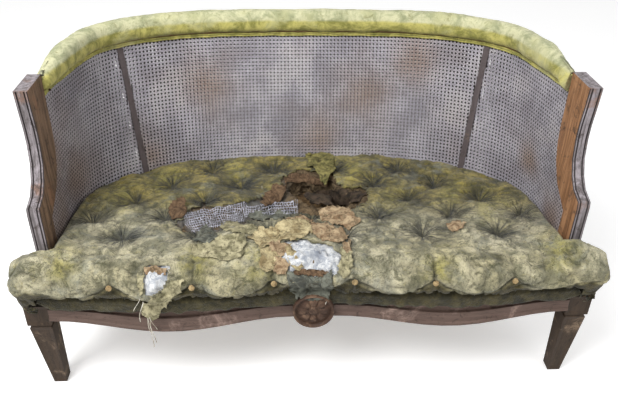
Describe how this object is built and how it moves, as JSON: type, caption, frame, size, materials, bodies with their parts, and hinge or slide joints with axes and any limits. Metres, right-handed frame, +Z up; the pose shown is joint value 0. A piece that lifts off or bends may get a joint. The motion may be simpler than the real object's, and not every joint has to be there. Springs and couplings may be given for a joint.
{
  "type": "barrel settee",
  "caption": "Cane-back barrel settee with a padded crest, a deep tufted seat torn open over its stuffing, a waved front rail with a carved rosette and square tapered legs.",
  "frame": {"origin": "on the floor under the middle of the settee's width and depth", "axes": "+X along its length, to the right in the picture; +Y from the front towards the back; +Z up"},
  "size_m": [1.532, 0.8072, 0.846],
  "materials": {
    "wood": "weathered painted and stained wood, worn through at the edges",
    "leg_wood": "nearly black weathered stain, rubbed lighter at the edges",
    "hidden_wood": "raw hardwood frame",
    "cane": "woven rattan cane, weathered grey and stained",
    "velvet": "olive velvet, faded, creased and mouldy",
    "crest_velvet": "pale green velvet, faded along its top",
    "cotton": "white cotton batting",
    "felt": "brown fibre felt",
    "hessian": "open grey hessian",
    "jute": "jute webbing",
    "button": "tan covered button"
  },
  "bodies": {
    "root": {"arm_post_left": "wood", "mullion_left": "wood", "front_leg_left": "leg_wood", "back_leg_left": "leg_wood", "corner_block_left": "hidden_wood", "side_rail_left": "hidden_wood", "arm_post_right": "wood", "mullion_right": "wood", "front_leg_right": "leg_wood", "back_leg_right": "leg_wood", "corner_block_right": "hidden_wood", "side_rail_right": "hidden_wood", "cane_inner_left": "cane", "cane_outer_left": "cane", "cane_rail_left": "hidden_wood", "crest_rail_left": "wood", "cane_inner_centre": "cane", "cane_outer_centre": "cane", "cane_rail_centre": "hidden_wood", "crest_rail_centre": "wood", "cane_inner_right": "cane", "cane_outer_right": "cane", "cane_rail_right": "hidden_wood", "crest_rail_right": "wood", "back_rail": "hidden_wood", "front_rail": "wood", "medallion": "leg_wood", "crest_pad": "crest_velvet", "crest_welt_inner": "crest_velvet", "crest_welt_outer": "crest_velvet", "seat_cover": "velvet", "cotton_layer": "cotton", "felt_pad": "felt", "hessian_deck": "hessian", "hessian_scrap": "hessian", "webbing_deep_1": "jute", "webbing_deep_2": "jute", "webbing_deep_3": "jute", "webbing_deep_4": "jute", "webbing_deep_5": "jute", "webbing_deep_6": "jute", "webbing_deep_7": "jute", "webbing_across_1": "jute", "webbing_across_2": "jute", "webbing_across_3": "jute", "border_button_1": "button", "border_button_2": "button", "border_button_3": "button", "border_button_4": "button", "border_button_5": "button", "border_button_6": "button"}
  },
  "joints": []
}
